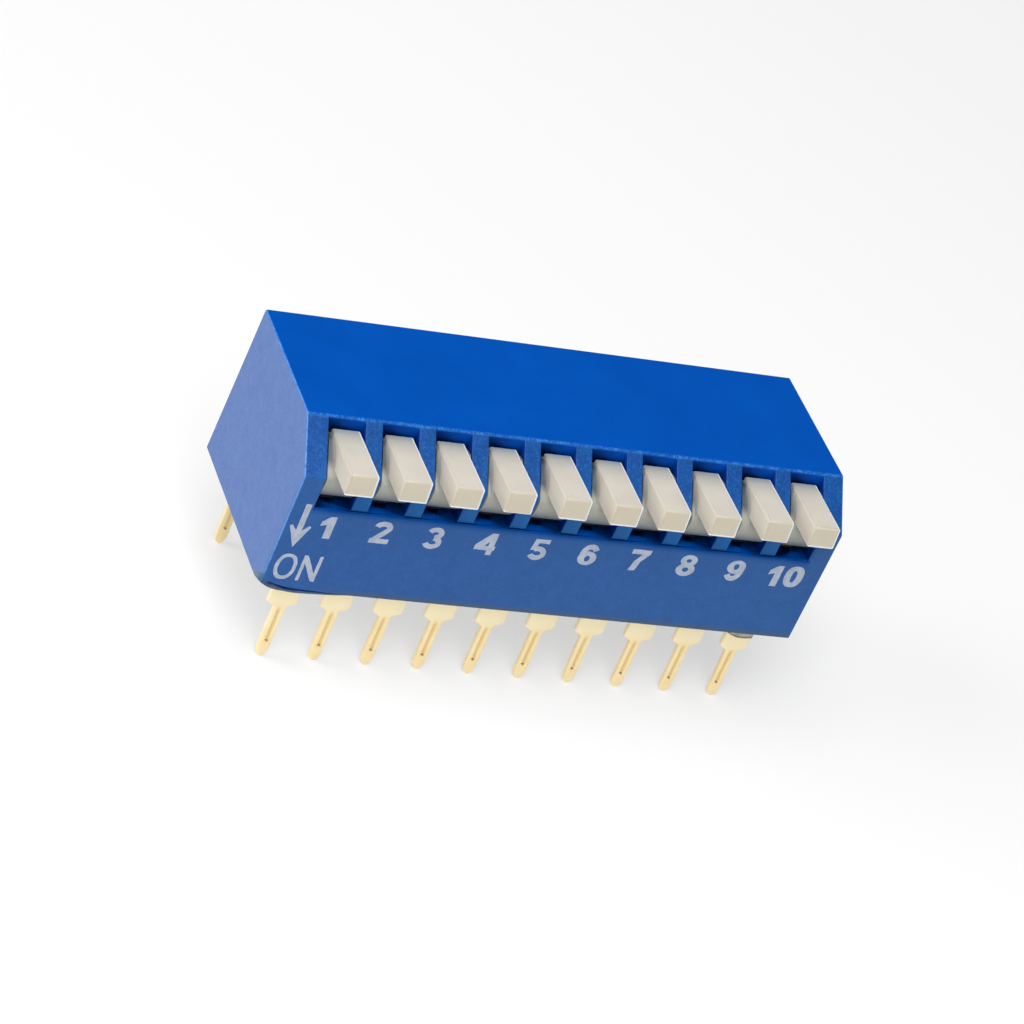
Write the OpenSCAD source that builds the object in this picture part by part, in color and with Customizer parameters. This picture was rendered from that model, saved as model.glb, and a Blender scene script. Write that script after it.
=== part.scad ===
// Ten position piano style DIP switch, through-hole, standard pitch.
// Millimetres. +Z up out of the board, keys face -Y, key row along X.
// Origin: middle of the pin grid, level with the feet of the pin shoulders.

/* [Layout] */
// number of keys in the row
positions = 10; // [2:1:12]
// spacing from one key, and one pin, to the next
pitch = 2.54; // [2.2:0.02:3]
// spacing between the two pin rows
row_spacing = 7.62; // [7.2:0.02:8]

/* [Housing] */
// outside wall beyond the first and last slot
end_wall = 1.04; // [0.8:0.02:1.6]
// foot of the front face, ahead of the pin grid's middle
front_foot = 4.83; // [4.7:0.01:5.1]
// foot of the rear face, behind the pin grid's middle
rear_foot = 4.73; // [4.7:0.01:5.2]
// height of the roof above the pin shoulders
top_z = 9.47; // [9.2:0.01:10]
// height of the underside above the pin shoulders
underside_z = 1.41; // [1.2:0.01:1.6]
// lean of the front face up to the chamfer
front_draft = 0.06; // [0:0.01:0.12]
// lean of the rear face over the full height
rear_draft = 0.27; // [0:0.01:0.3]
// run of the front top chamfer along Y
chamfer_run = 2.04; // [1.8:0.02:2.1]
// drop of the front top chamfer along Z
chamfer_drop = 1.9; // [1.6:0.02:2]
// width of each key slot and of the chamber behind it
slot_w = 1.73; // [1.6:0.01:1.8]
// height of the front wall's top edge, under the keys
sill_z = 5.95; // [5.6:0.01:6]
// slot rear wall ahead of the chamfer's top edge
slot_step = 0.1; // [0:0.01:0.12]
// how far the rib noses stand back from the front face
rib_setback = 0.12; // [0.05:0.01:0.2]
// thickness of the front wall under the keys
front_wall = 0.95; // [0.85:0.01:1]
// thickness of the roof plate
roof_t = 0.76; // [0.6:0.01:0.78]
// least thickness of the rear wall
rear_wall = 0.6; // [0.5:0.01:0.7]
// wall round the base, measured at the front foot
skirt_t = 0.83; // [0.78:0.01:0.84]

/* [Base] */
// height of the base plate's underside
base_z = 1.72; // [1.66:0.01:1.8]
// thickness of the base plate
base_t = 1.33; // [1.2:0.01:1.5]
// gap between base plate and housing, each side
base_gap = 0.02; // [0.01:0.01:0.04]

/* [Keys] */
// width of a key's lever
key_w = 1.36; // [1.2:0.01:1.44]
// how far the key's nose reaches ahead of its pivot
key_reach = 2.85; // [2.6:0.01:3]
// lean of the key's end face over its height
nose_lean = 0.15; // [0.05:0.01:0.25]
// top of the key above its pivot
key_rise = 1.54; // [1.5:0.01:1.56]
// underside of the key's nose above its pivot
nose_rise = 0.48; // [0.4:0.01:0.6]
// back edge of the key's top behind its pivot
key_back = 0.37; // [0.3:0.01:0.46]
// radius of the round hub in the slot
hub_r = 1.35; // [1.28:0.01:1.36]
// pivot line ahead of the pin grid's middle
pivot_front = 3.4; // [3.36:0.01:3.44]
// height of the pivot line
pivot_z = 7.39; // [7.36:0.01:7.4]
// radius of the pivot stubs
stub_r = 0.45; // [0.35:0.01:0.5]
// length of each pivot stub inside its bore
stub_l = 0.24; // [0.16:0.01:0.26]
// travel of a key from off to on, in degrees
key_travel = 25; // [20:1:26]
// length of the key's tail, pivot to tip
tail_l = 2.9; // [2.8:0.01:2.95]
// width of the tail
tail_w = 0.8; // [0.6:0.02:1]
// thickness of the tail, front to back
tail_t = 0.6; // [0.5:0.01:0.66]

/* [Terminals] */
// thickness of the terminal sheet
sheet_t = 0.25; // [0.2:0.01:0.27]
// width of a pin
pin_w = 0.54; // [0.4:0.01:0.6]
// length of a pin below its shoulder
pin_l = 3.2; // [2.9:0.05:3.5]
// length of the pointed end of a pin
pin_point = 0.72; // [0.5:0.02:0.9]
// width of a pin's shoulder
shoulder_w = 1.39; // [1.2:0.01:1.5]
// height of the shoulder's slanted corners
shoulder_slant = 0.25; // [0.15:0.01:0.35]
// width of the contact pad on the base
pad_w = 1.2; // [1:0.02:1.3]
// length of the front pad behind its pin
pad_l = 1.2; // [1:0.02:1.4]

/* [Contact blades] */
// thickness of the blade's sheet
blade_t = 0.12; // [0.1:0.01:0.14]
// width of the blade
blade_w = 1.1; // [0.9:0.02:1.2]
// radius of the blade's rolled end
root_r = 0.2; // [0.18:0.01:0.21]
// rolled end behind the pin grid's middle
root_back = 2.6; // [2.5:0.01:2.7]
// length of the blade's low run beside its rolled end
root_run = 1.1; // [0.9:0.02:1.3]
// rise of the blade over that low run
root_rise = 0.2; // [0.15:0.01:0.3]
// blade turn for each degree of key turn
blade_ratio = 0.2; // [0.18:0.01:0.22]
// gap left between blade and pad when on
on_gap = 0.04; // [0.03:0.01:0.06]

/* [Fits] */
// clearance of a key's hub in its slot, each side
hub_side = 0.065; // [0.04:0.005:0.08]
// radial clearance of a pivot stub in its bore
stub_fit = 0.04; // [0.02:0.01:0.06]
// extra depth of a bore past its stub
bore_extra = 0.02; // [0.01:0.01:0.04]
// radial clearance of the rolled end in its hook
root_fit = 0.03; // [0.02:0.01:0.05]
// clearance of a terminal in the base, each side
pin_fit = 0.02; // [0.01:0.01:0.03]
// room over the bent top of a terminal
bend_room = 0.06; // [0.03:0.01:0.1]
// least clearance between key tail and blade
tail_fit = 0.04; // [0.03:0.01:0.06]

/* [Hidden] */
$fn = 64;
eps = 1;

body_l = (positions - 1) * pitch + slot_w + 2 * end_wall;
row_y = row_spacing / 2;
base_top = base_z + base_t;
chamfer_z = top_z - chamfer_drop;
hub_w = slot_w - 2 * hub_side;
// front face position at a height z
function front_y(z) =
  -front_foot + front_draft * (z - underside_z) / (chamfer_z - underside_z);
// rear face position at a height z
function rear_y(z) =
  rear_foot - rear_draft * (z - underside_z) / (top_z - underside_z);
slot_rear = front_y(chamfer_z) + chamfer_run - slot_step;
roof_under = top_z - roof_t;
chamber_front = -front_foot + front_wall;
chamber_rear = rear_y(top_z) - rear_wall;
recess_front = -front_foot + skirt_t;
recess_rear = rear_foot - skirt_t + 0.08;
recess_l = body_l - 2 * skirt_t;

pivot = [-pivot_front, pivot_z];
root_z = base_top + sheet_t + root_r + root_fit;
root = [root_back, root_z];
tip_r = tail_t / 2;
swing = tail_l - tip_r;

function key_x(i) = (i - (positions + 1) / 2) * pitch;
function turned(p, a) =
  [p[0] * cos(a) - p[1] * sin(a), p[0] * sin(a) + p[1] * cos(a)];
// tail tip centre at a key angle, as the blade sees it
function tip_seen(a) =
  turned(pivot + [swing * sin(a), -swing * cos(a)] - root, -blade_ratio * a);
tip_off = tip_seen(0);
tip_on = tip_seen(key_travel);
tip_mid = tip_seen(key_travel / 2);
run = tip_on - tip_off;
along = run / norm(run);
under = [along[1], -along[0]];
sag = max(0, (tip_mid - tip_off) * under);
ramp_off = tip_r + tail_fit + sag + blade_t / 2;
ramp_low = tip_off + under * ramp_off - along * 0.12;
ramp_high = tip_on + under * ramp_off + along * 0.2;
on_turn = blade_ratio * key_travel;
// blade's touching end: its lower side meets the pad when on
touch_y = -pivot_front - root_back - 0.24;
touch_world = base_top + sheet_t + on_gap + blade_t / 2 - root_z;
touch = [touch_y, (touch_world - touch_y * sin(on_turn)) / cos(on_turn)];

// one profile in Y and Z, drawn out along X from x0 by w
module across(x0, w) {
  translate([x0, 0, 0])
    rotate([90, 0, 90])
      linear_extrude(height = w)
        children();
}

module rod(x0, w, r, y, z) {
  translate([x0, y, z])
    rotate([0, 90, 0])
      cylinder(h = w, r = r);
}

// unit normal to the left of a step
function left_of(v) = [-v[1], v[0]] / norm(v);
// the line h to the left of a bent line, mitred at its corners
function beside(pts, h) =
  [for (i = [0 : len(pts) - 1])
    let (
      a = left_of(i > 0 ? pts[i] - pts[i - 1] : pts[1] - pts[0]),
      b = left_of(i < len(pts) - 1 ? pts[i + 1] - pts[i] : pts[i] - pts[i - 1]),
      m = (a + b) / norm(a + b)
    )
    pts[i] + m * h / (m * a)];
function backwards(pts) = [for (i = [len(pts) - 1 : -1 : 0]) pts[i]];

// a bent strip of sheet through a list of points
module strip(pts, t) {
  polygon(concat(beside(pts, t / 2), backwards(beside(pts, -t / 2))));
}

// ---------- housing ----------
module outer_profile() {
  polygon([
    [-front_foot, underside_z],
    [front_y(chamfer_z), chamfer_z],
    [front_y(chamfer_z) + chamfer_run, top_z],
    [rear_y(top_z), top_z],
    [rear_foot, underside_z]
  ]);
}

module slot_profile() {
  // open front of the slot, above the sill
  polygon([
    [-front_foot - eps, sill_z],
    [slot_rear, sill_z],
    [slot_rear, top_z + eps],
    [-front_foot - eps, top_z + eps]
  ]);
  // chamber behind and below
  translate([chamber_front, base_top])
    square([chamber_rear - chamber_front, roof_under - base_top]);
  // room over the terminals' bent tops
  translate([recess_front, base_top])
    square([recess_rear - recess_front, sheet_t + bend_room]);
}

module housing() {
  span = (positions - 1) * pitch + slot_w;
  color([0.1, 0.32, 0.62])
    difference() {
      across(-body_l / 2, body_l) outer_profile();
      // rib noses stand back above the sill
      across(-span / 2, span)
        polygon([
          [-front_foot - eps, sill_z],
          [front_y(sill_z) + rib_setback, sill_z],
          [front_y(chamfer_z) + rib_setback, chamfer_z + chamfer_drop],
          [-front_foot - eps, chamfer_z + chamfer_drop]
        ]);
      for (i = [1 : positions]) {
        across(key_x(i) - slot_w / 2, slot_w) slot_profile();
        rod(key_x(i) - slot_w / 2 - stub_l - bore_extra,
            slot_w + 2 * (stub_l + bore_extra),
            stub_r + stub_fit, pivot[0], pivot[1]);
      }
      // recess for the base plate
      translate([-recess_l / 2, recess_front, underside_z - eps])
        cube([recess_l, recess_rear - recess_front, base_top - underside_z + eps]);
    }
}

// ---------- base and seal ----------
// room for the upright part of one terminal
module terminal_room(x, side, fit) {
  y0 = side * (row_y - sheet_t / 2 - fit);
  y1 = side * (front_foot + eps);
  translate([x - shoulder_w / 2 - fit, min(y0, y1), 0])
    cube([shoulder_w + 2 * fit, abs(y1 - y0), top_z]);
}

module base() {
  color([0.12, 0.12, 0.13])
    difference() {
      translate([-recess_l / 2 + base_gap, recess_front + base_gap, base_z])
        cube([recess_l - 2 * base_gap,
              recess_rear - recess_front - 2 * base_gap, base_t]);
      for (i = [1 : positions]) {
        terminal_room(key_x(i), -1, pin_fit);
        terminal_room(key_x(i), 1, pin_fit);
      }
    }
}

// potting resin that closes the underside round the terminals
module seal() {
  color([0.10, 0.17, 0.20])
    difference() {
      translate([-recess_l / 2, recess_front, underside_z])
        cube([recess_l, recess_rear - recess_front, base_z - underside_z]);
      for (i = [1 : positions])
        for (side = [-1, 1])
          translate([key_x(i) - shoulder_w / 2, side * row_y - sheet_t / 2, 0])
            cube([shoulder_w, sheet_t, top_z]);
    }
}

// ---------- terminals ----------
module terminal_blank() {
  // the flat of one terminal in X and Z, pin, shoulder and neck
  polygon([
    [0, -pin_l],
    [pin_w * 0.22, -pin_l + 0.04],
    [pin_w / 2, -pin_l + pin_point],
    [pin_w / 2, -0.06],
    [shoulder_w / 2, -0.06 + shoulder_slant],
    [shoulder_w / 2, base_top],
    [pad_w / 2, base_top],
    [pad_w / 2, base_top + sheet_t],
    [-pad_w / 2, base_top + sheet_t],
    [-pad_w / 2, base_top],
    [-shoulder_w / 2, base_top],
    [-shoulder_w / 2, -0.06 + shoulder_slant],
    [-pin_w / 2, -0.06],
    [-pin_w / 2, -pin_l + pin_point],
    [-pin_w * 0.22, -pin_l + 0.04]
  ]);
}

module upright(x, y) {
  translate([x, y + sheet_t / 2, 0])
    rotate([90, 0, 0])
      linear_extrude(height = sheet_t)
        terminal_blank();
}

module terminal_front(i) {
  color([0.9, 0.78, 0.5])
    union() {
      upright(key_x(i), -row_y);
      translate([key_x(i) - pad_w / 2, -row_y - sheet_t / 2, base_top])
        cube([pad_w, sheet_t + pad_l, sheet_t]);
    }
}

module terminal_rear(i) {
  hook_r = root_r + root_fit;
  x0 = key_x(i) - pad_w / 2;
  color([0.9, 0.78, 0.5])
    union() {
      upright(key_x(i), row_y);
      translate([x0, root_back, base_top])
        cube([pad_w, row_y + sheet_t / 2 - root_back, sheet_t]);
      // hook under and ahead of the blade's rolled end
      difference() {
        rod(x0, pad_w, hook_r + sheet_t, root_back, root_z);
        rod(x0 - eps, pad_w + 2 * eps, hook_r, root_back, root_z);
        translate([x0 - eps, root_back, root_z - 2])
          cube([pad_w + 2 * eps, 2, 4]);
        translate([x0 - eps, root_back - 2, root_z])
          cube([pad_w + 2 * eps, 4, 2]);
      }
    }
}

// ---------- moving pieces ----------
module key(i) {
  x = key_x(i);
  stub_span = slot_w + 2 * stub_l;
  color([0.88, 0.85, 0.8])
    union() {
      across(x - key_w / 2, key_w)
        translate(pivot)
          polygon([
            [-key_reach + nose_lean, key_rise],
            [-key_reach, nose_rise],
            [0, nose_rise],
            [key_back, nose_rise],
            [key_back, key_rise]
          ]);
      rod(x - hub_w / 2, hub_w, hub_r, pivot[0], pivot[1]);
      rod(x - stub_span / 2, stub_span, stub_r, pivot[0], pivot[1]);
      // tail that works the contact blade
      across(x - tail_w / 2, tail_w)
        translate(pivot + [-tail_t / 2, -swing])
          square([tail_t, swing]);
      rod(x - tail_w / 2, tail_w, tip_r, pivot[0], pivot[1] - swing);
    }
}

module contact(i) {
  x = key_x(i);
  lift = root_r - blade_t / 2;
  color([0.93, 0.8, 0.5])
    union() {
      rod(x - blade_w / 2, blade_w, root_r, root[0], root[1]);
      across(x - blade_w / 2, blade_w)
        translate(root)
          strip([
            [0, lift],
            [-root_run, lift + root_rise],
            ramp_high + [0.5, -0.05],
            ramp_high,
            ramp_low,
            touch + [0.05, 0.12],
            touch
          ], blade_t);
    }
}

housing();
base();
seal();
for (i = [1 : positions]) {
  terminal_front(i);
  terminal_rear(i);
  key(i);
  contact(i);
}
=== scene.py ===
import math
from types import SimpleNamespace

import bmesh
import bpy
from mathutils import Matrix, Vector, noise


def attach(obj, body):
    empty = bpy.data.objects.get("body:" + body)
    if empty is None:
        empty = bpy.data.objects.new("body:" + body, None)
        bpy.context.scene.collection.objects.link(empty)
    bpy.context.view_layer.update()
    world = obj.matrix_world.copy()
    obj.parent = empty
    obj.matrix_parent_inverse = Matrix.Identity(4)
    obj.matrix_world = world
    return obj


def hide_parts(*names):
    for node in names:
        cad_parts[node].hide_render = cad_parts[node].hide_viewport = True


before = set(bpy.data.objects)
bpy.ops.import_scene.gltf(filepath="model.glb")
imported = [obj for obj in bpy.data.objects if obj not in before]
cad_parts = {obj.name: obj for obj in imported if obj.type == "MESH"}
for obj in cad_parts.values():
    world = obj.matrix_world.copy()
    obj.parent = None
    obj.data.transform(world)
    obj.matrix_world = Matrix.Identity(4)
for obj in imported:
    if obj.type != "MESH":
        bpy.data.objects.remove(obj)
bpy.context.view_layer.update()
MM = 0.001

# ---------------------------------------------------------------- sizes, mm
PITCH = 2.54
COUNT = 10
HALF_L = 13.335
UNDER, TOP = 1.41, 9.47
# foot and run of the chamfer over the slots
CH_Z, CH_RUN = 7.57, 2.04
FRONT_FOOT, REAR_FOOT = 4.83, 4.73
FRONT_DRAFT, REAR_DRAFT = 0.06, 0.27
# width of the slots, and how far they end short of the chamfer's top
SLOT_W, SLOT_SHORT = 1.73, 0.1
SILL = 5.95
# how far the rib noses stand back from the front face
SETBACK = 0.12
# front and rear of the chambers, and their roof
CHAMBER = (-3.88, 3.86)
ROOF_UNDER = 8.71
# front and rear of the recess for base and resin, and the walls at its ends
RECESS = (-4.0, 3.98)
SKIRT = 0.83
BASE_TOP = 3.05
# top of the room for the bent ends of the terminals
BEND_TOP = 3.36
# thickness of the terminals
SHEET = 0.25
# distance of each pin row from the middle
ROW = 3.81
# y and z of the keys' pivot line
PIVOT = (-3.4, 7.39)
STUB_R, STUB_L = 0.45, 0.24
BORE_R, BORE_L = 0.49, 0.26
# a place well ahead of the front face
AHEAD = -6


def key_x(i):
    return (i - (COUNT + 1) / 2) * PITCH


def front_y(z):
    return -FRONT_FOOT + FRONT_DRAFT * (z - UNDER) / (CH_Z - UNDER)


REAR_TOP_Y = REAR_FOOT - REAR_DRAFT
CH_TOP_Y = front_y(CH_Z) + CH_RUN
SLOT_REAR = CH_TOP_Y - SLOT_SHORT
# outer side of the first and last slot
SLOTS_HALF = (COUNT - 1) * PITCH / 2 + SLOT_W / 2


# ---------------------------------------------------------------- mesh help
def new_object(name, bm, materials=()):
    mesh = bpy.data.meshes.new(name)
    bm.normal_update()
    bm.to_mesh(mesh)
    bm.free()
    obj = bpy.data.objects.new(name, mesh)
    bpy.context.scene.collection.objects.link(obj)
    for m in materials:
        mesh.materials.append(m)
    return obj


def place(bm, x, y, z):
    """New vertex at a point in mm."""
    return bm.verts.new((x * MM, y * MM, z * MM))


def band(bm, a, b, flip=False):
    """Faces between two rings of vertices."""
    faces = []
    for k in range(len(a)):
        m = (k + 1) % len(a)
        quad = (a[k], a[m], b[m], b[k])
        faces.append(bm.faces.new(quad[::-1] if flip else quad))
    return faces


def skin(bm, rings, flip=False):
    """Closed surface over rings of vertices; gives back the faces between the rings."""
    sides = []
    for a, b in zip(rings, rings[1:]):
        sides += band(bm, a, b, flip)
    bm.faces.new(rings[0] if flip else rings[0][::-1])
    bm.faces.new(rings[-1][::-1] if flip else rings[-1])
    return sides


def prism(bm, pts, x0, x1):
    """A closed prism along X from (y, z) points in mm, counter-clockwise seen from +X."""
    a = [place(bm, x0, y, z) for y, z in pts]
    b = [place(bm, x1, y, z) for y, z in pts]
    bm.faces.new(a[::-1])
    bm.faces.new(b)
    band(bm, a, b)


def around(y, z, r, turns):
    """Points in Y and Z on a circle, at angles in radians."""
    return [(y + r * math.cos(a), z + r * math.sin(a)) for a in turns]


def rod(bm, x0, x1, r, y, z, n=40):
    turns = [2 * math.pi * k / n for k in range(n)]
    prism(bm, around(y, z, r, turns), x0, x1)


def applied(obj):
    """Replaces the object's mesh with its modified one."""
    dg = bpy.context.evaluated_depsgraph_get()
    dg.update()
    mesh = bpy.data.meshes.new_from_object(obj.evaluated_get(dg))
    old = obj.data
    obj.modifiers.clear()
    obj.data = mesh
    bpy.data.meshes.remove(old)


def combine(obj, bm, operation):
    tool = new_object("tool", bm)
    mod = obj.modifiers.new("combine", "BOOLEAN")
    mod.operation = operation
    mod.solver = "EXACT"
    mod.object = tool
    applied(obj)
    bpy.data.objects.remove(tool)


def cut(obj, bm):
    combine(obj, bm, "DIFFERENCE")


def join(obj, bm):
    combine(obj, bm, "UNION")


def round_edges(obj, rule, segments):
    """rule(edge, a, b) gives each edge its rounding in mm; a and b are its ends in mm."""
    bm = bmesh.new()
    bm.from_mesh(obj.data)
    layers = bm.edges.layers.float
    layer = layers.get("bevel_weight_edge") or layers.new("bevel_weight_edge")
    widest = 0.2
    sharp = math.radians(16)
    for e in bm.edges:
        if len(e.link_faces) == 2 and e.calc_face_angle(0) > sharp:
            e[layer] = rule(e, e.verts[0].co / MM, e.verts[1].co / MM) / widest
    bm.to_mesh(obj.data)
    bm.free()
    mod = obj.modifiers.new("edges", "BEVEL")
    mod.limit_method = "WEIGHT"
    mod.width = widest * MM
    mod.segments = segments
    mod.use_clamp_overlap = False
    applied(obj)


def shade(obj):
    """Smooth shading that keeps the large faces flat."""
    for p in obj.data.polygons:
        p.use_smooth = True
    weigh = obj.modifiers.new("shading", "WEIGHTED_NORMAL")
    weigh.mode = "FACE_AREA"
    weigh.weight = 60
    applied(obj)


# ---------------------------------------------------------------- materials
class Nodes:
    """Short way to build a node material on object coordinates."""

    def __init__(self, name):
        self.mat = bpy.data.materials.new(name)
        self.mat.use_nodes = True
        self.tree = self.mat.node_tree
        self.shader = self.tree.nodes["Principled BSDF"]
        self.coords = self.add("ShaderNodeTexCoord").outputs["Object"]

    def add(self, kind):
        return self.tree.nodes.new(kind)

    def feed(self, socket, value):
        """Links an output, or sets a number or a colour."""
        if isinstance(value, (int, float)):
            socket.default_value = value
        elif isinstance(value, tuple):
            socket.default_value = (*value, 1)
        else:
            self.tree.links.new(value, socket)

    def axes(self):
        """x, y and z of the surface, in metres."""
        split = self.add("ShaderNodeSeparateXYZ")
        self.feed(split.inputs[0], self.coords)
        return split.outputs

    def noise(self, scale, detail=3.0, rough=0.5, stretch=None):
        """Noise with scale in features per millimetre."""
        source = self.coords
        if stretch:
            mapping = self.add("ShaderNodeMapping")
            mapping.inputs["Scale"].default_value = stretch
            self.feed(mapping.inputs["Vector"], source)
            source = mapping.outputs["Vector"]
        texture = self.add("ShaderNodeTexNoise")
        self.feed(texture.inputs["Scale"], scale / MM)
        self.feed(texture.inputs["Detail"], detail)
        self.feed(texture.inputs["Roughness"], rough)
        self.feed(texture.inputs["Vector"], source)
        return texture.outputs["Fac"]

    def ramp(self, fac, stops):
        """Colours at places from 0 to 1."""
        node = self.add("ShaderNodeValToRGB")
        elements = node.color_ramp.elements
        while len(elements) < len(stops):
            elements.new(0.5)
        for element, (pos, color) in zip(elements, stops):
            element.position = pos
            element.color = (*color, 1)
        self.feed(node.inputs["Fac"], fac)
        return node.outputs["Color"]

    def span(self, fac, lo, hi, to_lo=0.0, to_hi=1.0):
        """Maps lo to to_lo and hi to to_hi, and holds both outside."""
        node = self.add("ShaderNodeMapRange")
        self.feed(node.inputs["From Min"], lo)
        self.feed(node.inputs["From Max"], hi)
        self.feed(node.inputs["To Min"], to_lo)
        self.feed(node.inputs["To Max"], to_hi)
        self.feed(node.inputs["Value"], fac)
        return node.outputs["Result"]

    def fade(self, length, lo, hi, to_lo=0.0, to_hi=1.0):
        """span() of a length, with lo and hi in mm."""
        return self.span(length, lo * MM, hi * MM, to_lo, to_hi)

    def math(self, op, *values):
        node = self.add("ShaderNodeMath")
        node.operation = op
        for socket, value in zip(node.inputs, values):
            self.feed(socket, value)
        return node.outputs[0]

    def times(self, first, *others):
        for other in others:
            first = self.math("MULTIPLY", first, other)
        return first

    def off(self, value, centre):
        """Distance of a length from centre, which is in mm."""
        return self.math("ABSOLUTE", self.math("SUBTRACT", value, centre * MM))

    def near(self, value, centre, half, soft):
        """1 where value is within half of centre, fading out over soft; all in mm."""
        return self.fade(self.off(value, centre), half + soft, half)

    def mix(self, fac, a, b, blend="MIX"):
        node = self.add("ShaderNodeMix")
        node.data_type = "RGBA"
        node.blend_type = blend
        for k, value in ((0, fac), (6, a), (7, b)):
            self.feed(node.inputs[k], value)
        return node.outputs[2]

    def tint(self, a, b):
        """a multiplied by b."""
        return self.mix(1.0, a, b, "MULTIPLY")

    def bump(self, height, distance, strength, after=None):
        """Bumps on top of the ones that after holds; distance is in mm."""
        node = self.add("ShaderNodeBump")
        self.feed(node.inputs["Distance"], distance * MM)
        self.feed(node.inputs["Strength"], strength)
        self.feed(node.inputs["Height"], height)
        if after is not None:
            self.feed(node.inputs["Normal"], after)
        return node.outputs["Normal"]

    def set(self, **inputs):
        """Feeds the shader's inputs by name."""
        for name, value in inputs.items():
            self.feed(self.shader.inputs[name.replace("_", " ")], value)


# y where the front face's own look starts, and where it is full
FRONT_IN, FRONT_OUT = -4.66, -4.745
# just past the outermost slots
SLOTS_END = 12.4


def blue_fields(n):
    """Places, noises and masks that the steps of the housing's look share."""
    f = SimpleNamespace()
    f.x, f.y, f.z = n.axes()
    f.out = n.math("ABSOLUTE", f.x)
    f.big = n.noise(0.35, 3, 0.55)
    f.fine = n.noise(5.0, 4, 0.6)
    f.mottle = n.noise(1.6, 5, 0.65)
    f.specks = n.noise(8.5, 2, 0.7)
    f.grit = n.noise(9.0, 3, 0.6)
    # distance from the middle of the nearest slot
    fold = n.math("PINGPONG", n.math("ADD", f.x, 50 * PITCH * MM), PITCH / 2 * MM)
    f.slot = n.off(fold, PITCH / 2)
    f.front = n.fade(f.y, FRONT_IN, FRONT_OUT)
    roof = n.fade(f.z, TOP - 0.05, TOP - 0.015)
    ledge = n.times(
        n.near(f.z, SILL, 0.01, 0.03),
        n.fade(f.y, FRONT_OUT, FRONT_IN),
        n.fade(f.y, CHAMBER[0] + 0.08, CHAMBER[0] + 0.02),
        n.fade(f.out, SLOTS_END, SLOTS_END - 0.08),
    )
    f.inner = n.times(
        n.fade(f.slot, SLOT_W / 2 + 0.012, SLOT_W / 2 + 0.004),
        n.fade(f.out, SLOTS_END, SLOTS_END - 0.05),
        n.fade(f.y, SLOT_REAR + 0.03, SLOT_REAR + 0.01),
        n.fade(f.z, SILL - 0.03, SILL - 0.01),
    )
    f.deep = n.math("MAXIMUM", n.math("MAXIMUM", roof, ledge), f.inner)
    # the upright noses of the ribs
    f.nose = n.times(n.fade(f.z, CH_Z - 0.03, CH_Z - 0.1), n.near(f.y, -4.65, 0.05, 0.03))
    # the front face under the sill, which painted shade darkens
    f.brow = n.times(
        f.front,
        n.fade(f.z, SILL - 0.36, SILL - 0.04),
        n.fade(f.z, SILL + 0.03, SILL + 0.01),
        n.fade(f.out, SLOTS_END + 0.02, SLOTS_END - 0.08),
    )
    return f


def blue_base(n, f):
    """The roof, the ledge and the slots are polished and deep, the sparked faces are greyer; the slots'
    side walls and backs are painted darker, as painted shade.
    """
    roof = n.mix(n.span(f.big, 0.3, 0.7), (0.0002, 0.076, 0.42), (0.0004, 0.086, 0.465))
    ribs = n.mix(n.span(f.mottle, 0.28, 0.72), (0.0003, 0.055, 0.268), (0.0010, 0.080, 0.336))
    ribs = n.mix(n.span(f.grit, 0.48, 0.70, 0.0, 0.7), ribs, (0.012, 0.160, 0.50))
    front = n.mix(n.span(f.mottle, 0.28, 0.72), (0.0014, 0.076, 0.300), (0.0044, 0.096, 0.352))
    front = n.mix(n.span(f.grit, 0.5, 0.75, 0.0, 0.3), front, (0.020, 0.150, 0.45))
    sparked = n.mix(f.front, ribs, front)
    sparked = n.mix(n.times(f.nose, 0.8), sparked, (0.0015, 0.118, 0.385))
    color = n.mix(f.deep, sparked, roof)
    # painted shade on the side walls of the slots
    wall = n.times(f.inner, n.fade(f.slot, SLOT_W / 2 - 0.012, SLOT_W / 2 - 0.004), 0.8)
    color = n.mix(wall, color, (0.0003, 0.016, 0.190))
    # painted shade on the backs of the slots
    back = n.times(f.inner, n.fade(f.y, SLOT_REAR - 0.03, SLOT_REAR - 0.01), 0.7)
    return n.mix(back, color, (0.0002, 0.046, 0.31))


def blue_front(n, f, color):
    """The front is painted darker towards the sill, as painted shade, and greyer along its lower edge, as
    a painted reflection.
    """
    # painted shade: darker towards the sill
    color = n.mix(n.times(f.brow, f.brow, 0.6), color, (0.0002, 0.048, 0.275))
    # painted reflection: greyer along the lower edge
    hem_reflection = n.times(f.front, n.fade(f.z, 1.76, 1.48, 0.0, 0.9), n.fade(f.x, -11.0, -8.6))
    return n.mix(hem_reflection, color, (0.050, 0.092, 0.155))


def blue_roof_edge(n, f, color):
    """Rough, pale line where the slots break into the roof, a painted highlight on that edge."""
    line = n.times(
        n.near(f.y, CH_TOP_Y - 0.02, 0.03, 0.07),
        n.near(f.z, TOP - 0.03, 0.04, 0.06),
        n.span(f.specks, 0.42, 0.62, 0.1, 1.0),
        n.span(f.mottle, 0.35, 0.6, 0.35, 1.0),
        0.9,
    )
    return n.mix(line, color, (0.050, 0.235, 0.68))


def blue_ends(n, f, color):
    """The end faces are duller and paler, partly their textured finish and partly a painted reflection,
    with a painted highlight along their edges.
    """
    # painted highlight along the edges of the end faces
    rim_highlight = n.fade(f.out, HALF_L - 0.08, HALF_L - 0.03)
    rim_highlight = n.times(rim_highlight, n.span(f.fine, 0.3, 0.6, 0.25, 1.0), 0.85)
    color = n.mix(rim_highlight, color, (0.11, 0.35, 0.80))
    # paler end faces: partly their textured finish, partly a painted reflection
    pale = n.mix(n.span(f.mottle, 0.3, 0.7), (0.064, 0.145, 0.40), (0.090, 0.178, 0.455))
    pale = n.mix(n.span(f.grit, 0.45, 0.75, 0.0, 0.45), pale, (0.12, 0.235, 0.53))
    return n.mix(n.fade(f.out, HALF_L - 0.02, HALF_L - 0.004), color, pale)


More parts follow.
